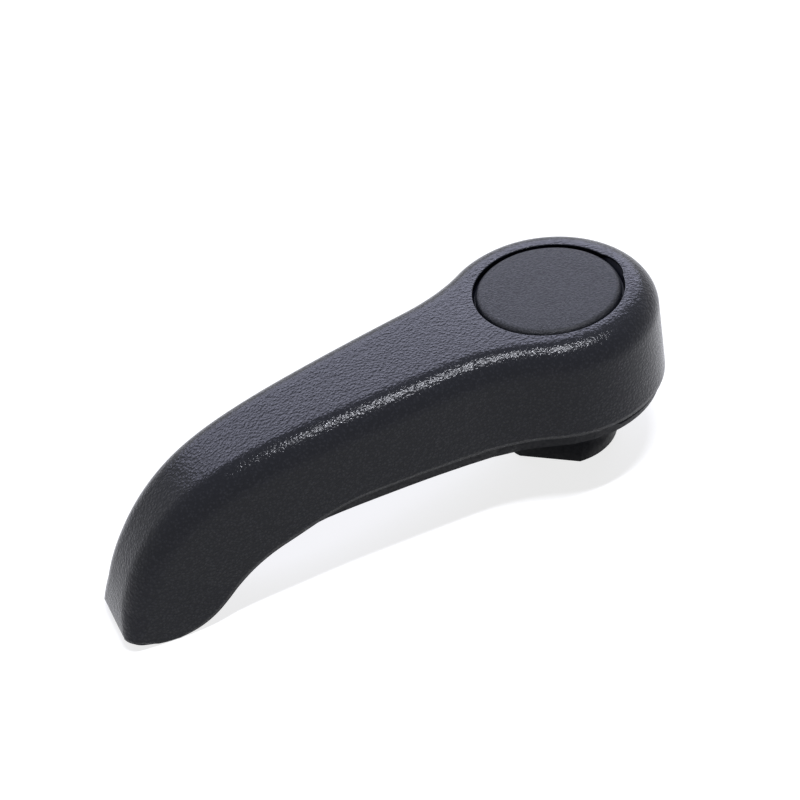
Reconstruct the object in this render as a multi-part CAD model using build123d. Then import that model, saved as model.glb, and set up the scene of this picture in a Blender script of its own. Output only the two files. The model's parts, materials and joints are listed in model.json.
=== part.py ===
from build123d import *
from math import atan, cos, radians, sin, sqrt, tan
import os

# Car seat adjustment lever, in millimetres.
# Origin: spindle axis at the barrel's end face. +Z: along the spindle, towards the cover. Arm: along -X.

# Head and arm, outside
HEAD_RADIUS = 23.0          # at the parting line
HEAD_TOP = 37.6             # flat face round the cover
PARTING_HEIGHT = 17.3       # parting line on the head
ARM_TAPER = 0.086           # half width lost for each millimetre along the arm
ARM_ROOT_HALF = 17.43       # half width where the tapered side line would cross the spindle axis
WAIST_RADIUS = 38.0         # concave blend between head and arm, in plan
WALL_DRAFT = 0.06           # mould draft of the side walls, as a slope
EDGE_RADIUS = 5.6           # rounding between top and side walls
TIP_EDGE_RADIUS = 3.0       # the same rounding at the end of the tip
TIP_EDGE_GROWTH = 0.35      # rounding gained for each millimetre above the tip's end

# Side view of the lever: points of the top line, the parting line and the rim's lower edge, as (x, z)
TOP_LINE = [(-18.0, HEAD_TOP), (-35.0, 37.1), (-52.0, 36.1), (-68.0, 34.3), (-82.0, 30.3), (-93.0, 22.1),
            (-99.6, 12.5), (-103.2, 2.6), (-105.2, -8.0)]
PARTING_LINE = [(-18.0, PARTING_HEIGHT), (-35.0, 17.9), (-52.0, 18.0), (-66.0, 16.9), (-78.0, 11.5),
                (-88.0, 3.7), (-95.5, 1.3), (-103.3, 2.7), (-110.0, 6.3)]
RIM_LINE = [(-18.0, 14.5), (-35.0, 15.1), (-52.0, 15.2), (-65.2, 14.2), (-76.6, 9.3),
            (-86.4, 1.9), (-94.0, 0.0), (-103.2, 2.3), (-110.0, 5.9)]
TOP_END_DIRECTION = (-0.18, 0, -1)
SIDE_END_DIRECTION = (-1.8, 0, 1)
TIP_HEIGHT = 1.3            # lowest part of the parting line
BODY_HEIGHT = HEAD_TOP - PARTING_HEIGHT

# Stations of the moulding's ruled loft, close enough that its steps don't show
HEAD_STATIONS = [0.0, -4.0, -8.0, -12.0, -15.0, -16.5]
ARM_STEPS = 18              # even steps along the top line
CAVITY_STRIDE = 2           # the cavity follows every second station
BLANK_DEPTH = 27.0          # how far the untrimmed moulding reaches below its top line
FAR = 60.0                  # clear of the lever on every side
CLEAR = 1.0                 # how far a cut runs past the face that it opens

# Walls, rim band and ribs
WALL = 2.3
BAND_STEP = 0.25            # how far the rim band stands in from the wall above it, at the parting line
BAND_LEAN = 0.32            # inward slope of the rim band
LEAN_END = -84.0            # where the band's lean has faded out, towards the tip
LEAN_FADE = 24.0            # length over which it fades
CORNER_CHAMFER = 0.65       # chamfer of the cavity's top corners, as a share of the rounding it follows
LEAST_CHAMFER = 1.0
RIB = 1.5
SPINE_END = -101.0
CROSS_RIBS = [-33.0, -47.0, -61.0, -74.0]
TIP_RIB = (-86.0, 15.0)     # a point of the tilted rib in the tip, as (x, z)
TIP_RIB_TILT = 35.0
HEAD_RIB_ANGLES = [0.0, 45.0, 90.0, 135.0, -135.0, -90.0, -45.0]

# Cover recess and screw well, as radii and heights
RECESS_RADIUS = 15.45
RECESS_EDGE = 0.3
LEDGE_HEIGHT = 35.0
THROAT_RADIUS = 12.8
THROAT_BOTTOM = 33.0
SNAP_RADIUS = 13.8
SNAP_BOTTOM = 29.5
WELL_RADIUS = 9.6
WELL_CONE_BOTTOM = 25.5
WELL_WALL = 2.2
WELL_FLOOR_DROP = 1.5       # how far the well's outer corners lie below its inner ones
SEAT_HEIGHT = 18.5          # top of the web that the screw clamps
SEAT_THICKNESS = 4.0
SCREW_HOLE_RADIUS = 3.3

# Notch for prying the cover off: a round cut beside the recess, cut off square at its lower end
NOTCH_REACH = 16.0
NOTCH_RADIUS = 8.8
NOTCH_ANGLE = -4.0
NOTCH_HALF_ANGLE = 15.0
NOTCH_WALL = 1.4

# Barrel and spindle socket
BARREL_RADIUS = 12.6        # at its end face
BARREL_EDGE = 0.5
BARREL_FLARE = [(13.0, 12.4), (14.8, 14.6)]    # root that widens to the head, as (radius, z)
BARREL_TOP = 18.0
BARREL_FLAT = 10.2          # distance of the flat from the spindle axis
BARREL_FLAT_ANGLE = -133.0
CORE_RADIUS = 13.2
PILOT_RADIUS = 6.6
PILOT_LENGTH = 4.5
SPLINE_ROOT_RADIUS = 6.2
SPLINE_TIP_RADIUS = 5.6
SPLINE_TEETH = 24
SPLINE_FLANKS = [(-0.30, SPLINE_TIP_RADIUS), (-0.12, SPLINE_ROOT_RADIUS),
                 (0.12, SPLINE_ROOT_RADIUS), (0.30, SPLINE_TIP_RADIUS)]     # one tooth space, in pitches

# Cover
COVER_RADIUS = 14.85
COVER_TOP = 37.75
COVER_EDGE = 1.3
COVER_EDGE_STEPS = 2        # straight steps round the cover's edge
COVER_PLATE = 1.6
COVER_HOLLOW_RADIUS = 10.8
COVER_LIP_RADIUS = 15.2
COVER_LIP_TOP = 36.0
LEG_OUTER_RADIUS = 12.5
LEG_THICKNESS = 1.3
LEG_BOTTOM = 30.6
LEG_TIP_TAPER = 0.3
LEG_HALF_ANGLE = 17.0
LEG_COUNT = 4
FIRST_LEG_ANGLE = 45.0
BARB_RADIUS = 13.3
BARB_TOP = 32.8
BARB_FLAT = 32.3
BARB_BOTTOM = 31.4

# Retaining screw and washer
WASHER_RADIUS = 8.6
WASHER_HOLE_RADIUS = 3.2
WASHER_THICKNESS = 1.2
SHANK_RADIUS = 3.0
SHANK_LENGTH = 13.5
FLANGE_RADIUS = 6.2
FLANGE_THICKNESS = 1.0
SCREW_HEAD_RADIUS = 4.9
SCREW_HEAD_HEIGHT = 4.6
SCREW_HEAD_EDGE = 0.5
HEX_KEY = 5.0
HEX_DEPTH = 3.0


def plan_half_width(x):
    """Half width of the lever in plan at x: head circle, concave blend arc, straight taper."""
    slope = atan(ARM_TAPER)
    offset = ARM_ROOT_HALF + WAIST_RADIUS / cos(slope)
    reach = HEAD_RADIUS + WAIST_RADIUS
    across = offset * cos(slope)
    along = sqrt(reach ** 2 - across ** 2)
    blend_x = -along * cos(slope) - across * sin(slope)
    blend_y = offset + ARM_TAPER * blend_x
    circle_end = blend_x * HEAD_RADIUS / reach
    taper_start = blend_x + WAIST_RADIUS * sin(slope)
    if x > circle_end:
        return sqrt(HEAD_RADIUS ** 2 - x ** 2)
    if x > taper_start:
        return blend_y - sqrt(WAIST_RADIUS ** 2 - (x - blend_x) ** 2)
    return ARM_ROOT_HALF + ARM_TAPER * x


def side_curve(points):
    """Smooth curve of the side view through its (x, z) points, level where it leaves the head."""
    return Spline([(x, 0, z) for x, z in points], tangents=[(-1, 0, 0), SIDE_END_DIRECTION])


def moulding_section(point, tangent, inset, lean):
    """Section square to the top line: two side walls and a top, rounded outside and chamfered inside."""
    plane = Plane(origin=(point.X, 0, point.Z), x_dir=(0, 1, 0), z_dir=(tangent.X, 0, tangent.Z))
    above_tip = max(point.Z - TIP_HEIGHT, 0.0)
    crossings = side_curve(PARTING_LINE).intersect(plane) or []
    height = min([BODY_HEIGHT, above_tip] + [(vertex.center() - point).length for vertex in crossings])
    slope = WALL_DRAFT - lean * min(max((point.X - LEAN_END) / LEAN_FADE, 0), 1)
    low_x = point.X + BLANK_DEPTH * plane.y_dir.X
    low = BLANK_DEPTH + inset
    half_top = plan_half_width(point.X) - slope * height - inset
    half_low = plan_half_width(low_x) + slope * (BLANK_DEPTH - height) - inset
    outline = Polyline((-half_top, inset), (half_top, inset), (half_low, low), (-half_low, low), close=True)
    face = make_face(outline)
    corners = face.vertices().sort_by(Axis.Y)[:2]
    radius = min(EDGE_RADIUS, TIP_EDGE_RADIUS + TIP_EDGE_GROWTH * above_tip) - inset
    if inset < WALL:
        return plane * fillet(corners, radius)
    return plane * chamfer(corners, max(CORNER_CHAMFER * radius, LEAST_CHAMFER))


def moulding_blank(inset, lean=0.0, stride=1):
    """Untrimmed solid of head and arm, with all faces set in, and its walls leaning in if asked."""
    top_line = Spline([(x, 0, z) for x, z in TOP_LINE], tangents=[(-1, 0, 0), TOP_END_DIRECTION])
    stations = [(Vector(x, 0, HEAD_TOP), Vector(-1, 0, 0)) for x in HEAD_STATIONS]
    places = [step / ARM_STEPS for step in range(ARM_STEPS + 1)]
    stations += [(top_line @ place, top_line % place) for place in places]
    arm = loft([moulding_section(point, tangent, inset, lean) for point, tangent in stations[::stride]],
               ruled=True)
    low = HEAD_TOP - BLANK_DEPTH - inset
    top = HEAD_TOP - inset
    slope = WALL_DRAFT - lean
    top_radius = HEAD_RADIUS - slope * BODY_HEIGHT - inset
    low_radius = HEAD_RADIUS + slope * (BLANK_DEPTH - BODY_HEIGHT) - inset
    profile = make_face(Polyline((0, low), (low_radius, low), (top_radius, top), (0, top), close=True))
    shoulder = profile.vertices().sort_by(Axis.Y)[-2:].sort_by(Axis.X)[-1]
    if inset < WALL:
        profile = fillet(shoulder, EDGE_RADIUS - inset)
    else:
        profile = chamfer(shoulder, CORNER_CHAMFER * (EDGE_RADIUS - inset))
    round_end = Rot(0, 0, -90) * revolve(Plane.XZ * profile, Axis.Z, revolution_arc=180)
    return round_end + arm


def side_region(points, top_points=None):
    """Everything above a side view curve, as far as a second curve where one is given."""
    curve = side_curve(points)
    start = curve @ 0
    end = curve @ 1
    near = Vector(FAR, 0, start.Z)
    lines = [curve, Line(near, start)]
    if top_points is None:
        corners = [end, (-2 * FAR, 0, end.Z), (-2 * FAR, 0, FAR), (FAR, 0, FAR), near]
        lines += [Polyline(*corners)]
    else:
        top_curve = side_curve(top_points)
        top_start = top_curve @ 0
        lines += [Line(end, top_curve @ 1), top_curve, Polyline(top_start, (FAR, 0, top_start.Z), near)]
    return extrude(make_face(Curve() + lines), FAR, dir=(0, 1, 0), both=True)


def turned(points):
    """Solid of revolution about the spindle axis from its (radius, height) corners."""
    return revolve(Plane.XZ * make_face(Polyline(*points, close=True)), Axis.Z)


def disc(radius, low, high):
    """Upright cylinder on the spindle axis between two heights."""
    return Pos(0, 0, low) * Cylinder(radius, high - low, align=(Align.CENTER, Align.CENTER, Align.MIN))


def wedge(reach, half_angle, low, high):
    """Upright wedge from the spindle axis, centred on +X, between two heights."""
    side = reach * tan(radians(half_angle))
    return extrude(Pos(0, 0, low) * make_face(Polyline((0, 0), (reach, -side), (reach, side), close=True)),
                   high - low)


def core():
    """What stays solid inside the head: the wall of the screw well, narrowing to the barrel."""
    well_wall = SNAP_RADIUS + WELL_WALL
    top_radius = NOTCH_REACH + NOTCH_WALL
    return turned([(0, -CLEAR), (CORE_RADIUS, -CLEAR), (CORE_RADIUS, WELL_CONE_BOTTOM - 2 * WELL_FLOOR_DROP),
                   (well_wall, SNAP_BOTTOM - WELL_FLOOR_DROP), (well_wall, THROAT_BOTTOM),
                   (top_radius, LEDGE_HEIGHT - WELL_FLOOR_DROP), (top_radius, FAR), (0, FAR)])


def ribs():
    """Lengthwise spine, cross ribs of the arm and radial ribs of the head, as plates."""
    plate_height = 2 * FAR
    plates = [Pos(SPINE_END / 2, 0, 0) * Box(-SPINE_END, RIB, plate_height)]
    plates += [Pos(x, 0, 0) * Box(RIB, FAR, plate_height) for x in CROSS_RIBS]
    plates += [Pos(TIP_RIB[0], 0, TIP_RIB[1]) * Rot(0, -TIP_RIB_TILT, 0) * Box(RIB, FAR, plate_height)]
    radial = Pos(HEAD_RADIUS / 2, 0, 0) * Box(HEAD_RADIUS, RIB, plate_height)
    plates += [Rot(0, 0, angle) * radial for angle in HEAD_RIB_ANGLES]
    joined = plates[0]
    for plate in plates[1:]:
        joined = joined + plate
    return joined


def barrel():
    """Barrel below the head, with its flat, its broken end edge and its widening root."""
    root_radius = BARREL_FLARE[-1][0]
    body = turned([(0, 0), (BARREL_RADIUS - BARREL_EDGE, 0), (BARREL_RADIUS, BARREL_EDGE), *BARREL_FLARE,
                   (root_radius, BARREL_TOP), (0, BARREL_TOP)])
    flat_top = BARREL_FLARE[0][1]
    block = Pos(BARREL_FLAT + BARREL_RADIUS, 0, 0) * Box(2 * BARREL_RADIUS, FAR, 2 * flat_top)
    return body - Rot(0, 0, BARREL_FLAT_ANGLE) * block


def spline_socket():
    """Space for the spindle: a plain pilot at the mouth, then serrations up to the web."""
    top = SEAT_HEIGHT - SEAT_THICKNESS
    pilot = disc(PILOT_RADIUS, -CLEAR, PILOT_LENGTH)
    pitch = 360 / SPLINE_TEETH
    points = []
    for tooth in range(SPLINE_TEETH):
        for share, radius in SPLINE_FLANKS:
            angle = radians((tooth + share) * pitch)
            points.append((radius * cos(angle), radius * sin(angle)))
    serrated = make_face(Polyline(*points, close=True))
    return pilot + extrude(Pos(0, 0, PILOT_LENGTH) * serrated, top - PILOT_LENGTH)


def screw_well():
    """Space above the web: cover recess, throat, snap groove, cone and straight well."""
    return turned([(0, SEAT_HEIGHT), (WELL_RADIUS, SEAT_HEIGHT), (WELL_RADIUS, WELL_CONE_BOTTOM),
                   (SNAP_RADIUS, SNAP_BOTTOM), (SNAP_RADIUS, THROAT_BOTTOM), (THROAT_RADIUS, THROAT_BOTTOM),
                   (THROAT_RADIUS, LEDGE_HEIGHT), (RECESS_RADIUS, LEDGE_HEIGHT),
                   (RECESS_RADIUS, HEAD_TOP - RECESS_EDGE), (RECESS_RADIUS + RECESS_EDGE, HEAD_TOP),
                   (RECESS_RADIUS + RECESS_EDGE, FAR), (0, FAR)])


def notch():
    """Cut beside the recess that lets a blade under the cover."""
    cut = Pos(NOTCH_REACH - NOTCH_RADIUS, 0, 0) * disc(NOTCH_RADIUS, LEDGE_HEIGHT, FAR)
    return Rot(0, 0, NOTCH_ANGLE) * (cut & wedge(2 * NOTCH_REACH, NOTCH_HALF_ANGLE, LEDGE_HEIGHT, FAR))


def lever_body():
    """The one-piece moulding: skin, rim band, ribs, barrel, socket and screw well."""
    above_parting = side_region(PARTING_LINE)
    pockets = moulding_blank(WALL, stride=CAVITY_STRIDE) - core() - (ribs() & above_parting)
    skin = moulding_blank(0.0) & above_parting
    band = moulding_blank(BAND_STEP, WALL_DRAFT + BAND_LEAN) & side_region(RIM_LINE, PARTING_LINE)
    body = (skin - pockets) + (band - pockets)
    body = body + barrel()
    body = body - screw_well() - spline_socket()
    body = body - disc(SCREW_HOLE_RADIUS, 0, SEAT_HEIGHT + CLEAR)
    return body - notch()


def screw_cap():
    """Snap-in cover: a round-edged plate on a thin lip, hollow below, with barbed legs."""
    inner = LEG_OUTER_RADIUS - LEG_THICKNESS
    plate_bottom = COVER_TOP - COVER_PLATE
    turns = [radians(90 * step / COVER_EDGE_STEPS) for step in range(COVER_EDGE_STEPS + 1)]
    edge = [(COVER_RADIUS + COVER_EDGE * (cos(turn) - 1), COVER_TOP + COVER_EDGE * (sin(turn) - 1))
            for turn in turns]
    cover = turned([(COVER_HOLLOW_RADIUS, LEDGE_HEIGHT), (COVER_LIP_RADIUS, LEDGE_HEIGHT),
                    (COVER_LIP_RADIUS, COVER_LIP_TOP), (COVER_RADIUS, COVER_LIP_TOP), *edge, (0, COVER_TOP),
                    (0, plate_bottom), (COVER_HOLLOW_RADIUS, plate_bottom)])
    leg_top = (LEDGE_HEIGHT + COVER_LIP_TOP) / 2
    ring = turned([(inner, LEG_BOTTOM), (LEG_OUTER_RADIUS - LEG_TIP_TAPER, LEG_BOTTOM),
                   (BARB_RADIUS, BARB_BOTTOM), (BARB_RADIUS, BARB_FLAT), (LEG_OUTER_RADIUS, BARB_TOP),
                   (LEG_OUTER_RADIUS, leg_top), (inner, leg_top)])
    leg = ring & wedge(2 * COVER_RADIUS, LEG_HALF_ANGLE, LEG_BOTTOM, leg_top)
    for place in range(LEG_COUNT):
        cover = cover + Rot(0, 0, FIRST_LEG_ANGLE + 360 / LEG_COUNT * place) * leg
    return cover


def washer():
    """Flat washer on the web."""
    ring = disc(WASHER_RADIUS, SEAT_HEIGHT, SEAT_HEIGHT + WASHER_THICKNESS)
    return ring - disc(WASHER_HOLE_RADIUS, SEAT_HEIGHT - CLEAR, SEAT_HEIGHT + WASHER_THICKNESS + CLEAR)


def retaining_screw():
    """Flanged cap screw with a hexagon socket, its shank reaching into the spindle's place."""
    seat = SEAT_HEIGHT + WASHER_THICKNESS
    low = seat - SHANK_LENGTH
    flange = seat + FLANGE_THICKNESS
    top = flange + SCREW_HEAD_HEIGHT
    screw = turned([(0, low), (SHANK_RADIUS, low), (SHANK_RADIUS, seat), (FLANGE_RADIUS, seat),
                    (FLANGE_RADIUS, seat + FLANGE_THICKNESS / 2), (SCREW_HEAD_RADIUS, flange),
                    (SCREW_HEAD_RADIUS, top - SCREW_HEAD_EDGE), (SCREW_HEAD_RADIUS - SCREW_HEAD_EDGE, top),
                    (0, top)])
    key = RegularPolygon(HEX_KEY / 2, 6, major_radius=False)
    return screw - extrude(Pos(0, 0, top - HEX_DEPTH) * key, HEX_DEPTH + CLEAR)


if __name__ == "__main__":
    os.makedirs("parts", exist_ok=True)
    pieces = {"lever_body": lever_body(), "screw_cap": screw_cap(), "washer": washer(),
              "retaining_screw": retaining_screw()}
    for name, shape in pieces.items():
        export_step(shape, f"parts/{name}.step")
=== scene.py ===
"""Studio scene of a car seat adjustment lever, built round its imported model.

Lengths in the classes are millimetres unless a name says otherwise; Blender's own are metres.
The lever's arm points along -X, its head stands on the spindle axis Z, and Y is across.
"""

import json
import logging
import math
from dataclasses import dataclass, field
from enum import Enum
from typing import Any, Callable

import bmesh
import bpy
import numpy as np
from mathutils import Matrix, Vector

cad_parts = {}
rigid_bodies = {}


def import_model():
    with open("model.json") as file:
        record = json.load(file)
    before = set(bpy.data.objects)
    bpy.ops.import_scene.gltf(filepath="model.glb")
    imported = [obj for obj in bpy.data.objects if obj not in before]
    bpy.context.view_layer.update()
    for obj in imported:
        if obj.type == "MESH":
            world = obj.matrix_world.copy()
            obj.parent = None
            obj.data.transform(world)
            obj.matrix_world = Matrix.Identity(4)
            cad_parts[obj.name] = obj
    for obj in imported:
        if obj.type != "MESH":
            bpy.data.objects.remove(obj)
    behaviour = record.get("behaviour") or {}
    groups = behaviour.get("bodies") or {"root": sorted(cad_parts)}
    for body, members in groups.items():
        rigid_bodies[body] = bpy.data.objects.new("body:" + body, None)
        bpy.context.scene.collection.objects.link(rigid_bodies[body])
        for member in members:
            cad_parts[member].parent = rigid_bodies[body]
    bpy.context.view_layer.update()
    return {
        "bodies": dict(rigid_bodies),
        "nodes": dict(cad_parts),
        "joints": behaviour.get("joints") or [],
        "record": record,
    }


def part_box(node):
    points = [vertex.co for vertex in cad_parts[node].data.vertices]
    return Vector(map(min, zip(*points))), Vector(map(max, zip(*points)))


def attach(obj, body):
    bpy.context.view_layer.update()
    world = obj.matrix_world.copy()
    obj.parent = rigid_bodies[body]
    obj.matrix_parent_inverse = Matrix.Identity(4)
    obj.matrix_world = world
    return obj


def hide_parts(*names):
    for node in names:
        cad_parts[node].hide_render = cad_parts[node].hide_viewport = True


MM = 0.001
MERGE = 0.004           # vertices nearer than this, in millimetres, become one
CORE_MERGE = 0.002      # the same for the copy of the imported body
SHARP_DEG = 35.0        # edges that turn more than this stay sharp
CORE_SHARP_DEG = 28.0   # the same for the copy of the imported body
LEAST_STRETCH = 0.15    # keeps a step along the ridge line finite where sections run together
TINY = 1e-9             # least length that anything is divided by
TIP_ZONE = -88.0        # beyond this x the skin's lower rows are kept on its lower edge
LAST_COLUMN_X = -97.5   # x at which the wall's last column meets the skin's lower edge
LOG = logging.getLogger("lever")


def linear(hex_colour: str) -> tuple[float, float, float, float]:
    """Turn an sRGB hex colour into linear RGBA.

    Args:
        hex_colour: Six hex digits after a hash sign.

    Returns:
        Linear red, green and blue, and an alpha of 1.
    """
    channels = np.array([int(hex_colour[i:i + 2], 16) / 255 for i in (1, 3, 5)])
    values = np.where(channels <= 0.04045, channels / 12.92, ((channels + 0.055) / 1.055) ** 2.4)
    return (*values.tolist(), 1.0)


def add_node(tree: bpy.types.NodeTree, kind: str, settings: dict[str, Any] | None = None,
             **links: Any) -> bpy.types.Node:
    """Add one shader node, with its settings and its inputs.

    Args:
        tree: Node tree that takes the node.
        kind: Blender's class name of the node.
        settings: Values for the node's own properties.
        links: Inputs by name, with underscores for spaces. A socket is linked, a value is set.

    Returns:
        The new node.
    """
    node = tree.nodes.new(kind)
    for name, value in (settings or {}).items():
        setattr(node, name, value)
    for name, value in links.items():
        key = int(name[1:]) if name[1:].isdigit() else name.replace("_", " ")
        if isinstance(value, bpy.types.NodeSocket):
            tree.links.new(value, node.inputs[key])
        else:
            node.inputs[key].default_value = value
    return node


def new_material(name: str) -> tuple[bpy.types.Material, bpy.types.NodeTree]:
    """Make an empty node material.

    Args:
        name: The material's name.

    Returns:
        The material and its cleared node tree.
    """
    material = bpy.data.materials.new(name)
    material.use_nodes = True
    material.node_tree.nodes.clear()
    return material, material.node_tree


def grid_faces(rows: int, columns: int, closed: bool = False) -> np.ndarray:
    """List the four corners of each cell of a grid of vertices.

    Args:
        rows: Number of vertex rows.
        columns: Number of vertices in a row, which is stored one row after the other.
        closed: Whether each row's last vertex joins its first.

    Returns:
        Corner indices, one cell a line, in the order that faces away from row cross column.
    """
    cells = columns if closed else columns - 1
    down, along = np.meshgrid(np.arange(rows - 1), np.arange(cells), indexing="ij")
    here = down * columns + along
    beside = down * columns + (along + 1) % columns
    return np.stack([here, beside, beside + columns, here + columns], axis=-1).reshape(-1, 4)


def mesh_object(name: str, points: np.ndarray, faces: list[list[int]],
                closed: bool = True) -> bpy.types.Object:
    """Put arrays into a mesh, merge what coincides and shade it smooth up to an angle.

    Args:
        name: Name of the object and its mesh.
        points: Vertices in millimetres.
        faces: Corner indices of each face.
        closed: Whether the mesh is closed, so that its faces can be turned outwards.

    Returns:
        The new object, at the origin.
    """
    mesh = bpy.data.meshes.new(name)
    mesh.from_pydata((points * MM).tolist(), [], faces)
    work = bmesh.new()
    work.from_mesh(mesh)
    bmesh.ops.remove_doubles(work, verts=work.verts, dist=MERGE * MM)
    bmesh.ops.dissolve_degenerate(work, edges=work.edges, dist=MERGE * MM)
    if closed:
        bmesh.ops.recalc_face_normals(work, faces=work.faces)
    work.to_mesh(mesh)
    work.free()
    shade(mesh, SHARP_DEG)
    made = bpy.data.objects.new(name, mesh)
    bpy.context.scene.collection.objects.link(made)
    return made


def shade(mesh: bpy.types.Mesh, sharp_deg: float) -> None:
    """Shade a mesh smooth, with its sharp edges kept.

    Args:
        mesh: Mesh to shade.
        sharp_deg: Edges that turn more than this stay sharp.
    """
    mesh.polygons.foreach_set("use_smooth", np.ones(len(mesh.polygons), dtype=bool))
    mesh.set_sharp_from_angle(angle=math.radians(sharp_deg))


def turned(name: str, outline: np.ndarray, steps: int,
           ripple: Callable[[np.ndarray, np.ndarray], np.ndarray] | None = None) -> bpy.types.Object:
    """Turn a closed outline about the spindle axis.

    The point at row i and angle a lies at (r cos a, r sin a, z), with r and z the outline's own,
    or r as the ripple changes it.

    Args:
        name: Name of the object.
        outline: Radius and height of each point, running so that the solid lies on its left.
        steps: Number of steps in a full turn.
        ripple: Gives the radius from the row's number and the angle.

    Returns:
        The new object.
    """
    angles = np.linspace(0, 2 * math.pi, steps, endpoint=False)
    rows, turns = np.meshgrid(np.arange(len(outline)), angles, indexing="ij")
    radius = np.repeat(outline[:, :1], steps, axis=1) if ripple is None else ripple(rows, turns)
    height = np.repeat(outline[:, 1:], steps, axis=1)
    points = np.stack([radius * np.cos(turns), radius * np.sin(turns), height], axis=-1).reshape(-1, 3)
    return mesh_object(name, points, grid_faces(len(outline), steps, closed=True).tolist())


def rounded(centre: tuple[float, float], radius: float, start_deg: float, end_deg: float,
            steps: int) -> np.ndarray:
    """Points of an arc, centre plus radius times the cosine and sine of each angle.

    Args:
        centre: The arc's centre.
        radius: Its radius.
        start_deg: Angle of its first point.
        end_deg: Angle of its last point.
        steps: Number of steps between them.

    Returns:
        The points, one a line.
    """
    angles = np.radians(np.linspace(start_deg, end_deg, steps + 1))
    return np.stack([centre[0] + radius * np.cos(angles), centre[1] + radius * np.sin(angles)], axis=-1)


class SideCurve:
    """Smooth curve in the lever's side view, through chosen points, with given end directions."""

    def __init__(self, points: list[tuple[float, float]], start: tuple[float, float],
                 end: tuple[float, float]) -> None:
        """Solve the curve's slopes so that its bending is continuous at every point.

        Args:
            points: The (x, z) points.
            start: Direction at the first point.
            end: Direction at the last point.
        """
        self.points = np.array(points, dtype=float)
        gaps = np.linalg.norm(np.diff(self.points, axis=0), axis=1)
        self.knots = np.concatenate([[0], np.cumsum(gaps)])
        count = len(points)
        system = np.eye(count)
        inner = np.arange(1, count - 1)
        system[inner, inner - 1] = gaps[1:]
        system[inner, inner] = 2 * (gaps[:-1] + gaps[1:])
        system[inner, inner + 1] = gaps[:-1]
        chords = np.diff(self.points, axis=0) / gaps[:, None]
        right = np.zeros((count, 2))
        right[0] = np.array(start) / np.linalg.norm(start)
        right[-1] = np.array(end) / np.linalg.norm(end)
        right[1:-1] = 3 * (gaps[1:, None] * chords[:-1] + gaps[:-1, None] * chords[1:])
        self.slopes = np.linalg.solve(system, right)
        self.length = float(self.knots[-1])

    def at(self, places: np.ndarray) -> tuple[np.ndarray, np.ndarray]:
        """Find points and unit tangents: cubic pieces between neighbouring knots.

        Args:
            places: Distances along the chords, from 0 to the curve's length.

        Returns:
            Points and unit tangents, as (x, z), one a line.
        """
        span = np.clip(np.searchsorted(self.knots, places, side="right") - 1, 0, len(self.knots) - 2)
        width = (self.knots[span + 1] - self.knots[span])[:, None]
        t = (places - self.knots[span])[:, None] / width
        first, last = self.points[span], self.points[span + 1]
        first_slope, last_slope = self.slopes[span] * width, self.slopes[span + 1] * width
        points = ((2 * t ** 3 - 3 * t ** 2 + 1) * first + (t ** 3 - 2 * t ** 2 + t) * first_slope
                  + (3 * t ** 2 - 2 * t ** 3) * last + (t ** 3 - t ** 2) * last_slope)
        slopes = ((6 * t ** 2 - 6 * t) * (first - last) + (3 * t ** 2 - 4 * t + 1) * first_slope
                  + (3 * t ** 2 - 2 * t) * last_slope) / width
        return points, slopes / np.linalg.norm(slopes, axis=1, keepdims=True)


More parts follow.
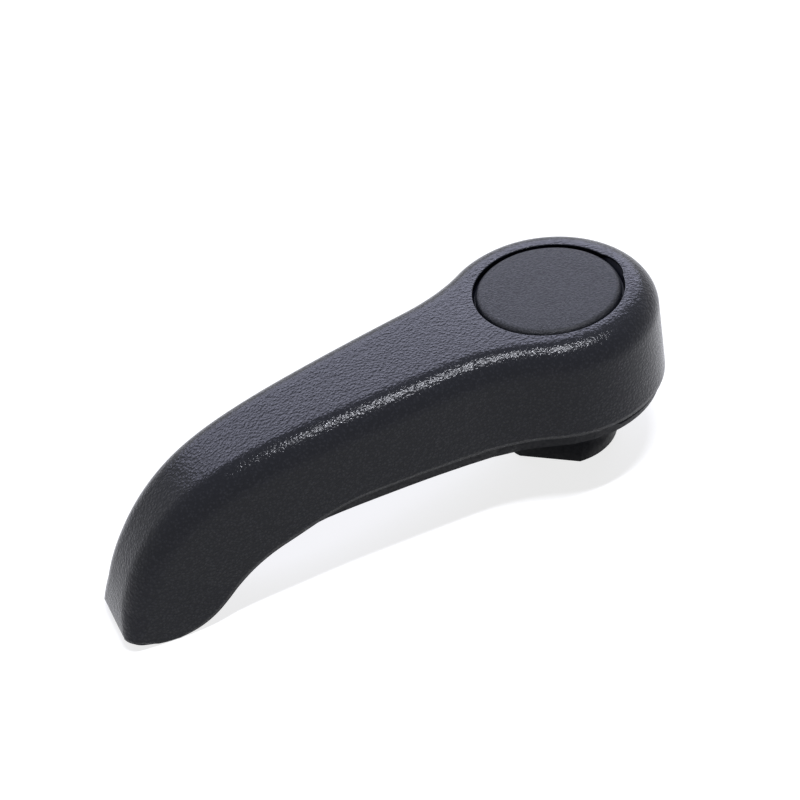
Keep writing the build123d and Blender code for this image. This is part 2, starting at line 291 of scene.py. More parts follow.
@dataclass(frozen=True)
class LeverForm:
    """Driving sizes of the lever's outer form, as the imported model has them."""

    head_radius: float = 23.0
    head_top: float = 37.6
    parting_height: float = 17.3
    arm_taper: float = 0.086
    arm_root_half: float = 17.43
    waist_radius: float = 38.0
    wall_draft: float = 0.06
    edge_radius: float = 5.6
    tip_edge_radius: float = 3.0
    tip_edge_growth: float = 0.35
    tip_height: float = 1.3
    blank_depth: float = 27.0
    curve_start: float = 18.0
    recess_radius: float = 15.4
    lip_round: float = 0.16
    rim_from: float = -50.0
    rim_full: float = -68.0
    rim_gap: float = 0.17
    notch_reach: float = 16.0
    notch_radius: float = 8.8
    notch_deg: float = -4.0
    notch_half_deg: float = 15.0

    def top_curve(self) -> SideCurve:
        """Make the ridge line of the arm in side view."""
        return SideCurve([(-18.0, 37.6), (-35.0, 37.1), (-52.0, 36.1), (-68.0, 34.3), (-82.0, 30.3),
                          (-93.0, 22.1), (-99.6, 12.5), (-103.2, 2.6), (-105.2, -8.0)],
                         (-1.0, 0.0), (-0.18, -1.0))

    def parting_curve(self) -> SideCurve:
        """Make the line in side view where the mould's halves met."""
        return SideCurve([(-18.0, 17.3), (-35.0, 17.9), (-52.0, 18.0), (-66.0, 16.9), (-78.0, 11.5),
                          (-88.0, 3.7), (-95.5, 1.3), (-103.3, 2.7), (-110.0, 6.3)],
                         (-1.0, 0.0), (-1.8, 1.0))

    def rim_curve(self) -> SideCurve:
        """Make the rim's lower edge in side view."""
        return SideCurve([(-18.0, 14.5), (-35.0, 15.1), (-52.0, 15.2), (-65.2, 14.2), (-76.6, 9.3),
                          (-86.4, 1.9), (-94.0, 0.0), (-103.2, 2.3), (-110.0, 5.9)],
                         (-1.0, 0.0), (-1.8, 1.0))

    def plan_half_width(self, x: np.ndarray) -> np.ndarray:
        """Half width in plan: the head's circle, a concave arc tangent to it, then a straight taper."""
        slope = math.atan(self.arm_taper)
        offset = self.arm_root_half + self.waist_radius / math.cos(slope)
        reach = self.head_radius + self.waist_radius
        across = offset * math.cos(slope)
        along = math.sqrt(reach ** 2 - across ** 2)
        blend_x = -along * math.cos(slope) - across * math.sin(slope)
        blend_y = offset + self.arm_taper * blend_x
        circle_end = blend_x * self.head_radius / reach
        taper_start = blend_x + self.waist_radius * math.sin(slope)
        circle = np.sqrt(np.maximum(self.head_radius ** 2 - x ** 2, 0))
        blend = blend_y - np.sqrt(np.maximum(self.waist_radius ** 2 - (x - blend_x) ** 2, 0))
        taper = self.arm_root_half + self.arm_taper * x
        return np.where(x > circle_end, circle, np.where(x > taper_start, blend, taper))

    def lip(self, turns: np.ndarray) -> np.ndarray:
        """Radius of the cover's recess at each angle: a circle, or the notch's round cut where wider."""
        aside = np.radians(self.notch_deg)
        turned_by = (turns - aside + np.pi) % (2 * np.pi) - np.pi
        centre = self.notch_reach - self.notch_radius
        cut = centre * np.cos(turned_by) + np.sqrt(
            np.maximum(self.notch_radius ** 2 - (centre * np.sin(turned_by)) ** 2, 0))
        notched = np.abs(turned_by) < np.radians(self.notch_half_deg)
        return np.where(notched, np.maximum(cut, self.recess_radius), self.recess_radius)


class ArmSections:
    """Sections of the arm square to its ridge line, tabled finely along the line."""

    def __init__(self, form: LeverForm, count: int = 1300, parting_count: int = 900) -> None:
        """Table the sections from the spindle axis to the end of the ridge line.

        Args:
            form: The lever's driving sizes.
            count: Number of sections.
            parting_count: Number of points at which the parting line is tried.
        """
        self.form = form
        curve = form.top_curve()
        parting = form.parting_curve()
        self.places = np.linspace(0, form.curve_start + curve.length, count)
        points, tangents = curve.at(np.maximum(self.places - form.curve_start, 0))
        straight = self.places < form.curve_start
        points[straight] = np.stack([-self.places[straight], np.full(straight.sum(), form.head_top)], axis=-1)
        tangents[straight] = (-1, 0)
        self.points, self.tangents = points, tangents
        self.inward = np.stack([-tangents[:, 1], tangents[:, 0]], axis=-1)
        steps = np.gradient(self.places)[:, None]
        self.bend = np.sum(np.gradient(tangents, axis=0) / steps * self.inward, axis=1)
        line, _ = parting.at(np.linspace(0, parting.length, parting_count))
        self.edge_points, self.edge_places = self.lower_edge(line, parting_count)
        ahead = (line[None] - points[:, None]) @ np.swapaxes(tangents[:, None], 1, 2)
        depth = (line[None] - points[:, None]) @ np.swapaxes(self.inward[:, None], 1, 2)
        ahead, depth = ahead[..., 0], depth[..., 0]
        crossed = ahead[:, :-1] * ahead[:, 1:] <= 0
        share = ahead[:, :-1] / np.where(crossed, ahead[:, :-1] - ahead[:, 1:], 1)
        reach = np.where(crossed, np.abs(depth[:, :-1] + share * np.diff(depth, axis=1)), np.inf).min(axis=1)
        above_tip = np.maximum(points[:, 1] - form.tip_height, 0)
        body_height = form.head_top - form.parting_height
        height = np.minimum(np.minimum(body_height, above_tip), reach)
        low_x = points[:, 0] + form.blank_depth * self.inward[:, 0]
        self.half_top = form.plan_half_width(points[:, 0]) - form.wall_draft * height
        half_low = form.plan_half_width(low_x) + form.wall_draft * (form.blank_depth - height)
        self.slope = (half_low - self.half_top) / form.blank_depth
        self.radius = np.minimum(form.edge_radius, form.tip_edge_radius + form.tip_edge_growth * above_tip)
        self.middle = self.half_top + self.slope * self.radius - self.radius * np.sqrt(1 + self.slope ** 2)
        self.turn = np.pi / 2 - np.arctan(self.slope)
        over = points[:, 1] - self.edge_height(points[:, 0])
        self.end = float(np.interp(0, -over[count // 2:], self.places[count // 2:]))

    def lower_edge(self, parting: np.ndarray, count: int) -> tuple[np.ndarray, np.ndarray]:
        """Work out the skin's lower edge in side view.

        It follows the parting line from the head, and eases over to the rim's edge before the bend, where
        the mould's halves met along the rim.

        Args:
            parting: Points of the parting line.
            count: Number of points of the rim's edge to try.

        Returns:
            Points of the edge, and their distances along it.
        """
        form = self.form
        rim_curve = form.rim_curve()
        rim = rim_curve.at(np.linspace(0, rim_curve.length, count))[0][::-1]
        share = np.clip((form.rim_from - parting[:, 0]) / (form.rim_from - form.rim_full), 0, 1)
        share = share ** 2 * (3 - 2 * share)
        low = np.interp(parting[:, 0], rim[:, 0], rim[:, 1]) + form.rim_gap
        edge = np.stack([parting[:, 0], parting[:, 1] + share * (low - parting[:, 1])], axis=-1)
        lengths = np.linalg.norm(np.diff(edge, axis=0), axis=1)
        return edge, np.concatenate([[0], np.cumsum(lengths)])

    def edge_height(self, x: np.ndarray) -> np.ndarray:
        """Height of the skin's lower edge at each x."""
        line = self.edge_points[::-1]
        height = np.interp(x, line[:, 0], line[:, 1])
        return np.where(x > -self.form.curve_start, self.form.parting_height, height)

    def keep_over_edge(self, spots: np.ndarray) -> None:
        """Lift points near the tip that lie below the skin's lower edge onto it, in place."""
        lifted = np.maximum(spots[..., 1], self.edge_height(spots[..., 0]))
        spots[..., 1] = np.where(spots[..., 0] < TIP_ZONE, lifted, spots[..., 1])

    def look_up(self, places: np.ndarray, values: np.ndarray) -> np.ndarray:
        """Read one of the tabled values, straight between neighbours."""
        if values.ndim == 1:
            return np.interp(places, self.places, values)
        return np.stack([np.interp(places, self.places, column) for column in values.T], axis=-1)

    def foot(self, spots: np.ndarray) -> tuple[np.ndarray, np.ndarray]:
        """Find the section through each point of the side view.

        The nearest tabled section is moved on by the distance left along its tangent, divided by
        one less the bend times the depth.

        Args:
            spots: Points as (x, z).

        Returns:
            The place of each point's section along the ridge line, and its depth below that line.
        """
        gaps = ((spots[:, None, 0] - self.points[None, :, 0]) ** 2
                + (spots[:, None, 1] - self.points[None, :, 1]) ** 2)
        nearest = gaps.argmin(axis=1)
        offset = spots - self.points[nearest]
        along = np.sum(offset * self.tangents[nearest], axis=1)
        depth = np.sum(offset * self.inward[nearest], axis=1)
        stretch = np.maximum(1 - self.bend[nearest] * depth, LEAST_STRETCH)
        places = np.clip(self.places[nearest] + along / stretch, 0, self.places[-1])
        offset = spots - self.look_up(places, self.points)
        depth = np.sum(offset * self.look_up(places, self.inward), axis=1)
        return places, depth

    def half_width(self, places: np.ndarray, depth: np.ndarray) -> np.ndarray:
        """Half width at a depth: the drafted wall's straight line, or the rounding's circle above it."""
        radius = self.look_up(places, self.radius)
        wall = self.look_up(places, self.half_top) + self.look_up(places, self.slope) * depth
        drop = np.clip(radius - depth, 0, radius)
        circle = self.look_up(places, self.middle) + np.sqrt(radius ** 2 - drop ** 2)
        return np.where(depth < radius * (1 - np.cos(self.look_up(places, self.turn))), circle, wall)

    def flank(self, places: np.ndarray, round_steps: int, wall_steps: int) -> np.ndarray:
        """Work out rows of points down one side, from the rounding's start to the skin's lower edge.

        A row of the rounding lies on its circle. A row of the wall lies on the straight line, in side view,
        from the rounding's end to a point that moves evenly along that edge.

        Args:
            places: Places of the columns along the ridge line.
            round_steps: Steps round the edge.
            wall_steps: Steps down the wall.

        Returns:
            Points as (x, half width, z), with rows first.
        """
        base = self.look_up(places, self.points)
        inward = self.look_up(places, self.inward)
        radius = self.look_up(places, self.radius)
        turns = np.linspace(0, 1, round_steps + 1)[:, None] * self.look_up(places, self.turn)
        depth = radius * (1 - np.cos(turns))
        half = self.look_up(places, self.middle) + radius * np.sin(turns)
        spots = base + depth[..., None] * inward
        share = (places - self.form.curve_start) / (self.end - self.form.curve_start)
        reach = np.maximum(share, 0) * np.interp(-LAST_COLUMN_X, -self.edge_points[:, 0], self.edge_places)
        low = np.stack([np.interp(reach, self.edge_places, column) for column in self.edge_points.T], axis=-1)
        straight = places < self.form.curve_start
        level = np.full(straight.sum(), self.form.parting_height)
        low[straight] = np.stack([-places[straight], level], axis=-1)
        steps = np.linspace(0, 1, wall_steps + 1)[1:, None, None]
        walls = spots[-1] + steps * (low - spots[-1])
        self.keep_over_edge(walls)
        feet, down = self.foot(walls.reshape(-1, 2))
        wall_half = self.half_width(feet, down).reshape(walls.shape[:2])
        spots = np.concatenate([spots, walls])
        half = np.concatenate([half, wall_half])
        self.keep_over_edge(spots)
        return np.stack([spots[..., 0], half, spots[..., 1]], axis=-1)


@dataclass
class Moulding:
    """The one-piece moulding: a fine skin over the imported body's ribs, rim band, barrel and well."""

    form: LeverForm = field(default_factory=LeverForm)
    arm_columns: int = 190
    ring_columns: int = 44
    head_columns: int = 120
    flat_steps: int = 10
    round_steps: int = 12
    wall_steps: int = 18
    lip_steps: int = 4
    lip_depth: float = 1.2
    skin_thickness: float = 1.0
    pull: float = 0.45
    skin_reach: float = 0.45
    edge_zone: float = 0.05
    edge_reach: float = 0.12
    edge_slack: float = 0.02

    def skin_points(self, sections: ArmSections) -> tuple[np.ndarray, np.ndarray]:
        """Work out the skin: a horseshoe of columns round the head, and one sheet over the arm.

        Args:
            sections: Sections of the arm.

        Returns:
            Points of the horseshoe and of the sheet, each with rows first.
        """
        form = self.form
        outer = form.recess_radius + form.lip_round
        quarter = np.linspace(0, math.pi / 2, self.ring_columns + 1)
        half_turn = np.linspace(-math.pi / 2, math.pi / 2, self.head_columns + 1)
        body_height = form.head_top - form.parting_height
        flank = sections.flank(outer * np.sin(quarter), self.round_steps, self.wall_steps)
        profile = sections.flank(np.zeros(1), self.round_steps, self.wall_steps)[:, 0]
        front = flank * (1, -1, 1)
        out = profile[:, None, 1]
        level = np.repeat(profile[:, 2:], len(half_turn), axis=1)
        round_head = np.stack([out * np.cos(half_turn), out * np.sin(half_turn), level], axis=-1)
        sides = np.concatenate([front[:, :0:-1], round_head, flank[:, 1:]], axis=1)
        turns = np.concatenate([-math.pi / 2 - quarter[:0:-1], half_turn, math.pi / 2 + quarter[1:]])
        lip = form.lip(turns)
        bends = np.linspace(0, math.pi / 2, self.lip_steps + 1)
        radii = np.array([lip] + [lip + form.lip_round * (1 - math.cos(bend)) for bend in bends])
        heights = [form.head_top - self.lip_depth]
        heights += [form.head_top - form.lip_round * (1 - math.sin(bend)) for bend in bends]
        levels = np.repeat(np.array(heights)[:, None], len(turns), axis=1)
        rim = np.stack([radii * np.cos(turns), radii * np.sin(turns), levels], axis=-1)
        steps = np.linspace(0, 1, self.flat_steps + 1)[1:-1, None, None]
        flat = rim[-1] + steps * (sides[0] - rim[-1])
        horseshoe = np.concatenate([rim, flat, sides])

        places = np.linspace(outer, sections.end, self.arm_columns + 1)
        arm = sections.flank(places, self.round_steps, self.wall_steps)
        across = np.linspace(-1, 1, 2 * self.flat_steps + 1)[1:-1, None]
        middle = np.stack([np.repeat(arm[:1, :, 0], len(across), axis=0), across * arm[0, :, 1],
                           np.repeat(arm[:1, :, 2], len(across), axis=0)], axis=-1)
        sheet = np.concatenate([arm[::-1] * (1, -1, 1), middle, arm])
        return horseshoe, sheet

    def build_skin(self, sections: ArmSections, low: np.ndarray, high: np.ndarray) -> bpy.types.Object:
        """Build the skin as a closed shell.

        Args:
            sections: Sections of the arm.
            low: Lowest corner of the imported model, in millimetres.
            high: Its highest corner.

        Returns:
            The skin.
        """
        horseshoe, sheet = self.skin_points(sections)
        points = np.concatenate([horseshoe.reshape(-1, 3), sheet.reshape(-1, 3)])
        first = grid_faces(*horseshoe.shape[:2])[:, ::-1]
        second = grid_faces(*sheet.shape[:2])[:, ::-1] + horseshoe[..., 0].size
        faces = np.concatenate([first, second])
        skin = mesh_object("lever_skin", np.clip(points, low, high), faces.tolist(), closed=False)
        wall = skin.modifiers.new("wall", "SOLIDIFY")
        wall.thickness = self.skin_thickness * MM
        wall.offset = -1.0
        wall.use_even_offset = False
        return skin

    def depth_and_inward(self, spots: np.ndarray, sections: ArmSections) -> tuple[np.ndarray, np.ndarray]:
        """Find how deep each point lies below the skin, and the direction straight in.

        Args:
            spots: Points in millimetres.
            sections: Sections of the arm.

        Returns:
            Depths, and unit vectors.
        """
        places, depth = sections.foot(spots[:, [0, 2]])
        round_part = spots[:, 0] > 0
        depth = np.where(round_part, self.form.head_top - spots[:, 2], depth)
        places = np.where(round_part, 0, places)
        across = np.where(round_part, np.hypot(spots[:, 0], spots[:, 1]), np.abs(spots[:, 1]))
        radius = sections.look_up(places, sections.radius)
        middle = sections.look_up(places, sections.middle)
        to_middle = np.stack([middle - across, radius - depth], axis=-1)
        length = np.maximum(np.linalg.norm(to_middle, axis=1), TINY)
        on_top = across < middle
        on_wall = depth > radius
        inward = np.where(on_top[:, None], (0.0, 1.0), np.where(on_wall[:, None], (-1.0, 0.0),
                                                                to_middle / length[:, None]))
        below = np.where(on_top, depth, np.where(on_wall, sections.half_width(places, depth) - across,
                                                 radius - length))
        line = sections.look_up(places, sections.inward)
        out_x = np.where(round_part, spots[:, 0] / np.maximum(across, TINY), 0.0)
        out_y = np.where(round_part, spots[:, 1] / np.maximum(across, TINY), np.sign(spots[:, 1]))
        vectors = np.stack([inward[:, 0] * out_x + inward[:, 1] * line[:, 0], inward[:, 0] * out_y,
                            inward[:, 1] * line[:, 1]], axis=-1)
        return below, vectors

    def build_core(self, node: bpy.types.Object, sections: ArmSections) -> bpy.types.Object:
        """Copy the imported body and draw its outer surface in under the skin.

        Args:
            node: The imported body, which is left alone.
            sections: Sections of the arm.

        Returns:
            The copy, with the ribs, rim band, barrel, socket and well at their places.
        """
        mesh = node.data.copy()
        mesh.name = "lever_core"
        work = bmesh.new()
        work.from_mesh(mesh)
        bmesh.ops.remove_doubles(work, verts=work.verts, dist=CORE_MERGE * MM)
        work.to_mesh(mesh)
        work.free()
        spots = np.empty(3 * len(mesh.vertices))
        mesh.vertices.foreach_get("co", spots)
        spots = spots.reshape(-1, 3) / MM
        below, inward = self.depth_and_inward(spots, sections)
        over = spots[:, 2] - sections.edge_height(spots[:, 0])
        near_edge = (over < self.edge_zone) & (spots[:, 0] >= self.form.rim_full)
        reach = np.where(near_edge, self.edge_reach, self.skin_reach)
        covered = (over > -self.edge_slack) & (below < reach)
        spots[covered] += self.pull * inward[covered]
        mesh.vertices.foreach_set("co", (spots * MM).ravel())
        shade(mesh, CORE_SHARP_DEG)
        core = bpy.data.objects.new("lever_core", mesh)
        bpy.context.scene.collection.objects.link(core)
        return core


@dataclass
class Cover:
    """Snap-in cover over the screw: a round-edged disc on a lip, hollow below, with barbed legs."""

    radius: float = 14.85
    top: float = 37.75
    edge: float = 1.3
    edge_steps: int = 9
    plate: float = 1.6
    hollow_radius: float = 10.8
    lip_radius: float = 15.2
    lip_top: float = 36.0
    bottom: float = 35.0
    leg_outer: float = 12.5
    leg_inner: float = 11.2
    leg_bottom: float = 30.6
    barb_radius: float = 13.3
    barb: tuple[float, float, float] = (31.4, 32.3, 32.8)
    leg_half_deg: float = 17.0
    leg_degs: tuple[float, ...] = (45.0, 135.0, 225.0, 315.0)
    soft_edge: float = 0.12
    leg_taper: float = 0.3
    leg_columns: int = 9
    top_rings: tuple[float, ...] = (0.6, 0.3, 0.0)
    turn_steps: int = 192

    def build_disc(self) -> bpy.types.Object:
        """Turn the disc, its quarter-round edge, lip and hollow about the spindle axis."""
        under = self.top - self.plate
        soft = self.soft_edge
        outline = np.concatenate([
            [(0, under), (self.hollow_radius, under), (self.hollow_radius, self.bottom),
             (self.lip_radius - soft, self.bottom), (self.lip_radius, self.bottom + soft),
             (self.lip_radius, self.lip_top - soft), (self.lip_radius - soft, self.lip_top),
             (self.radius, self.lip_top)],
            rounded((self.radius - self.edge, self.top - self.edge), self.edge, 0, 90, self.edge_steps),
            [(self.radius * share, self.top) for share in self.top_rings]])
        return turned("screw_cover", outline, self.turn_steps)

    def build_legs(self) -> bpy.types.Object:
        """Carry a leg's barbed profile through a short arc about the spindle axis, once for each leg."""
        low, flat, high = self.barb
        overlap = self.bottom + self.soft_edge
        profile = np.array([(self.leg_inner, self.leg_bottom),
                            (self.leg_outer - self.leg_taper, self.leg_bottom),
                            (self.barb_radius, low), (self.barb_radius, flat), (self.leg_outer, high),
                            (self.leg_outer, overlap), (self.leg_inner, overlap)])
        turns = np.radians(np.linspace(-self.leg_half_deg, self.leg_half_deg, self.leg_columns))
        points, faces = [], []
        for number, middle in enumerate(self.leg_degs):
            angle = (turns + math.radians(middle))[:, None]
            leg = np.stack([profile[:, 0] * np.cos(angle), profile[:, 0] * np.sin(angle),
                            np.repeat(profile[None, :, 1], len(turns), axis=0)], axis=-1)
            points.append(leg.reshape(-1, 3))
            start = number * points[0].shape[0]
            near_end = np.arange(len(profile)) + start
            far_end = near_end + len(profile) * (len(turns) - 1)
            faces += (grid_faces(len(turns), len(profile), closed=True) + start).tolist()
            faces += [near_end.tolist(), far_end.tolist()]
        return mesh_object("cover_legs", np.concatenate(points), faces)


@dataclass
class Fastener:
    """Flanged cap screw with a hexagon socket and a rolled thread, on its flat washer."""

    seat: float = 18.5
    washer_radius: float = 8.6
    washer_hole: float = 3.2
    washer_thickness: float = 1.2
    shank_radius: float = 3.0
    shank_length: float = 13.5
    pitch: float = 1.0
    thread_depth: float = 0.58
    plain_shank: float = 2.5
    flange_radius: float = 6.2
    flange_edge: float = 0.5
    flange_thickness: float = 1.0
    head_radius: float = 4.9
    head_height: float = 4.6
    head_edge: float = 0.5
    key: float = 5.0
    key_depth: float = 3.0
    thread_rows: int = 110
    thread_end: float = 0.3
    washer_edge: float = 0.15
    turn_steps: int = 96

    def build_washer(self) -> bpy.types.Object:
        """Turn the washer's rounded rectangle about the spindle axis."""
        low, high, soft = self.seat, self.seat + self.washer_thickness, self.washer_edge
        hole, rim = self.washer_hole, self.washer_radius
        outline = [(hole + soft, low), (rim - soft, low), (rim, low + soft), (rim, high - soft),
                   (rim - soft, high), (hole + soft, high), (hole, high - soft), (hole, low + soft),
                   (hole + soft, low)]
        return turned("flat_washer", np.array(outline), self.turn_steps)

    def build_screw(self) -> bpy.types.Object:
        """Turn the screw's outline, with a hexagon for its socket and a winding groove for its thread.

        The socket's radius is half the key over the cosine of the angle from the nearest flat's middle.
        The thread's radius is the shank's less its depth times a triangle wave of height over pitch
        less the turn.
        """
        seat = self.seat + self.washer_thickness
        low = seat - self.shank_length
        flange = seat + self.flange_thickness
        top = flange + self.head_height
        floor = top - self.key_depth
        heights = np.linspace(low + self.thread_end, seat - self.plain_shank, self.thread_rows)
        below = [(0, low), (self.shank_radius - self.thread_depth, low)]
        thread = np.stack([np.full(self.thread_rows, self.shank_radius), heights], axis=-1)
        above = [(self.shank_radius, seat - self.plain_shank + self.thread_end),
                 (self.shank_radius, seat), (self.flange_radius, seat),
                 (self.flange_radius, seat + self.flange_edge), (self.head_radius, flange),
                 (self.head_radius, top - self.head_edge), (self.head_radius - self.head_edge, top),
                 (self.key / 2, top), (self.key / 2, floor), (0, floor)]
        outline = np.concatenate([below, thread, above])
        first_thread = len(below)
        key_rows = (len(outline) - 3, len(outline) - 2)

        def radius(rows: np.ndarray, turns: np.ndarray) -> np.ndarray:
            """Radius of each row at each angle."""
            plain = outline[rows, 0]
            height = outline[rows, 1]
            phase = (height / self.pitch - turns / (2 * math.pi)) % 1.0
            wave = np.abs(2 * phase - 1)
            threaded = (rows >= first_thread) & (rows < first_thread + self.thread_rows)
            sixth = (turns + math.pi / 6) % (math.pi / 3) - math.pi / 6
            hexagon = self.key / 2 / np.cos(sixth)
            keyed = (rows == key_rows[0]) | (rows == key_rows[1])
            return np.where(threaded, plain - self.thread_depth * wave, np.where(keyed, hexagon, plain))

        return turned("cap_screw", outline, self.turn_steps, ripple=radius)


PLASTIC_IOR = 1.45              # ABS has about 1.54; the specular levels below were set with this value
FINE_SHARE = 1.6                # cells of fine noise to a grain cell
FINE_WEIGHT = 0.7               # weight of the fine noise beside the leather's crowns
WARP_SHARE = 0.5                # cells of the noise that pulls the leather about, to a grain cell
WARP_REACH = 0.9                # how far it pulls, in grain cells
# The crease and crown spans below also set painted shade: creases get a darker colour and less specular level
# than crowns
LEATHER_SPAN = (0.85, 1.35)     # grain height taken for creases and for crowns, on leather
NOISE_SPAN = (0.35, 0.65)       # the same on the other textures
GLOSS_SPAN = (0.06, -0.04)      # added to the roughness in creases and on crowns
CREASE_SHADE_SPECULAR_SPAN = (0.8, 1.15)        # share of the specular level in creases and on crowns
CLOUD_SPAN = (-0.08, 0.1)       # added to the zinc's roughness from cloud to cloud


class Texture(Enum):
    """Ways in which the steel of the mould was finished, which the plastic copies."""

    LEATHER = "leather"
    SPARK = "spark"
    POLISHED = "polished"


@dataclass(frozen=True)
class MouldedPlastic:
    """Injection moulded ABS, black in the mass, with the texture of its mould."""

    name: str
    colour: str
    lit_crown_colour: str
    roughness: float
    grain_mm: float
    grain_height_mm: float
    texture: Texture
    specular: float

    def grain(self, tree: bpy.types.NodeTree, place: bpy.types.NodeSocket) -> bpy.types.NodeSocket:
        """Add the grain's height.

        Leather grain is rounded cells between creases, spark grain is fine noise, and a polished
        mould leaves only a faint unevenness.

        Args:
            tree: Node tree that takes the nodes.
            place: Object coordinates.

        Returns:
            The height, from creases to crowns.
        """
        cells = 1 / (self.grain_mm * MM)
        fine = add_node(tree, "ShaderNodeTexNoise", Vector=place, Scale=cells * FINE_SHARE, Detail=3.0,
                        Roughness=0.6)
        if self.texture is not Texture.LEATHER:
            return fine.outputs["Fac"]
        warp = add_node(tree, "ShaderNodeTexNoise", Vector=place, Scale=cells * WARP_SHARE, Detail=2.0)
        moved = add_node(tree, "ShaderNodeVectorMath", {"operation": "MULTIPLY_ADD"},
                         _0=warp.outputs["Color"], _1=(WARP_REACH * self.grain_mm * MM,) * 3, _2=place)
        cell = add_node(tree, "ShaderNodeTexVoronoi", {"feature": "SMOOTH_F1"},
                        Vector=moved.outputs["Vector"], Scale=cells, Smoothness=0.35)
        crown = add_node(tree, "ShaderNodeMath", {"operation": "SUBTRACT"}, _0=1.0,
                         _1=cell.outputs["Distance"])
        mixed = add_node(tree, "ShaderNodeMath", {"operation": "MULTIPLY_ADD"}, _0=fine.outputs["Fac"],
                         _1=FINE_WEIGHT, _2=crown.outputs["Value"])
        return mixed.outputs["Value"]

    def material(self) -> bpy.types.Material:
        """Build the node material.

        Returns:
            The material: dark plastic, glossier on the grain's crowns, with painted shade that darkens its
                creases and lowers their specular level.
        """
        material, tree = new_material(self.name)
        place = add_node(tree, "ShaderNodeTexCoord").outputs["Object"]
        height = self.grain(tree, place)
        bump = add_node(tree, "ShaderNodeBump", Strength=1.0, Distance=self.grain_height_mm * MM,
                        Height=height)
        low, high = LEATHER_SPAN if self.texture is Texture.LEATHER else NOISE_SPAN
        # Painted shade: this factor darkens the creases towards the base colour and lowers their specular
        # level, while crowns get the lighter crown colour
        crown = add_node(tree, "ShaderNodeMapRange", Value=height, From_Min=low, From_Max=high)
        crease_shaded_tint = add_node(tree, "ShaderNodeMix", {"data_type": "RGBA"}, Factor=crown.outputs["Result"],
                        _6=linear(self.colour), _7=linear(self.lit_crown_colour))
        gloss = add_node(tree, "ShaderNodeMapRange", Value=crown.outputs["Result"],
                         To_Min=self.roughness + GLOSS_SPAN[0], To_Max=self.roughness + GLOSS_SPAN[1])
        crease_shaded_specular = add_node(tree, "ShaderNodeMapRange", Value=crown.outputs["Result"],
                         To_Min=self.specular * CREASE_SHADE_SPECULAR_SPAN[0], To_Max=self.specular * CREASE_SHADE_SPECULAR_SPAN[1])
        skin = add_node(tree, "ShaderNodeBsdfPrincipled", Base_Color=crease_shaded_tint.outputs[2],
                        Normal=bump.outputs["Normal"], Roughness=gloss.outputs["Result"], IOR=PLASTIC_IOR,
                        Specular_IOR_Level=crease_shaded_specular.outputs["Result"])
        add_node(tree, "ShaderNodeOutputMaterial", Surface=skin.outputs["BSDF"])
        return material


@dataclass(frozen=True)
class PlatedSteel:
    """Cold headed steel with a bright zinc bath: silver, with faint clouds where the zinc grew."""

    name: str = "zinc_plated_steel"
    colour: str = "#B9BBB8"
    roughness: float = 0.34
    cloud_mm: float = 1.4

    def material(self) -> bpy.types.Material:
        """Build the node material.

        Returns:
            The material, with its roughness broken up by noise.
        """
        material, tree = new_material(self.name)
        place = add_node(tree, "ShaderNodeTexCoord").outputs["Object"]
        cloud = add_node(tree, "ShaderNodeTexNoise", Vector=place, Scale=1 / (self.cloud_mm * MM), Detail=4.0)
        rough = add_node(tree, "ShaderNodeMapRange", Value=cloud.outputs["Fac"],
                         To_Min=self.roughness + CLOUD_SPAN[0], To_Max=self.roughness + CLOUD_SPAN[1])
        metal = add_node(tree, "ShaderNodeBsdfPrincipled", Base_Color=linear(self.colour),
                         Metallic=1.0, Roughness=rough.outputs["Result"])
        add_node(tree, "ShaderNodeOutputMaterial", Surface=metal.outputs["BSDF"])
        return material


# Etched leather grain: rounded cells that sparkle where light strikes their crowns, drawn a little
# coarser than the real grain so that they show; its creases carry painted shade, darker and less specular
BODY_GRAIN = MouldedPlastic("abs_moulded_leather_grain", "#0F121D", "#1A1D2A", 0.14, 0.6, 0.068,
                            Texture.LEATHER, 0.33)
# The mould's smooth half: rim band, barrel and everything below, with a soft even sheen; its very dark
# colour and low specular level are partly its own and partly painted shade, the shade under the lever
BODY_SMOOTH = MouldedPlastic("abs_moulded_smooth", "#0C0E15", "#11131B", 0.38, 1.2, 0.004,
                             Texture.POLISHED, 0.07)
# Spark eroded grain: an even matt that only greys the highlight, drawn coarser than the real grain;
# its creases carry painted shade, darker and less specular
COVER_GRAIN = MouldedPlastic("abs_moulded_spark_grain", "#14161C", "#202229", 0.37, 0.7, 0.18,
                             Texture.SPARK, 0.27)
STEEL = PlatedSteel()


@dataclass(frozen=True)
class StudioCamera:
    """Camera at the photograph's angle, fitted to the outline of the lever."""

    azimuth_deg: float = -20.89
    elevation_deg: float = 39.73
    roll_deg: float = 9.67
    aim_mm: tuple[float, float, float] = (-40.0, 0.0, 22.3)
    distance_mm: float = 301.8
    pan_mm: tuple[float, float] = (3.44, 4.25)
    lens_mm: float = 67.5
    sensor_mm: float = 36.0
    near_clip_m: float = 0.01

    def build(self) -> None:
        """Create the camera and make it the scene's own."""
        azimuth, elevation, roll = map(math.radians, (self.azimuth_deg, self.elevation_deg, self.roll_deg))
        back = Vector((math.sin(azimuth) * math.cos(elevation), -math.cos(azimuth) * math.cos(elevation),
                       math.sin(elevation)))
        level = Vector((math.cos(azimuth), math.sin(azimuth), 0.0))
        upright = back.cross(level)
        right = level * math.cos(roll) - upright * math.sin(roll)
        up = level * math.sin(roll) + upright * math.cos(roll)
        place = Vector(self.aim_mm) + back * self.distance_mm
        place = (place + right * self.pan_mm[0] + up * self.pan_mm[1]) * MM
        data = bpy.data.cameras.new("camera")
        data.sensor_width = self.sensor_mm
        data.lens = self.lens_mm
        data.clip_start = self.near_clip_m
        camera = bpy.data.objects.new("camera", data)
        camera.matrix_world = Matrix.Translation(place) @ Matrix((right, up, back)).transposed().to_4x4()
        bpy.context.scene.collection.objects.link(camera)
        bpy.context.scene.camera = camera


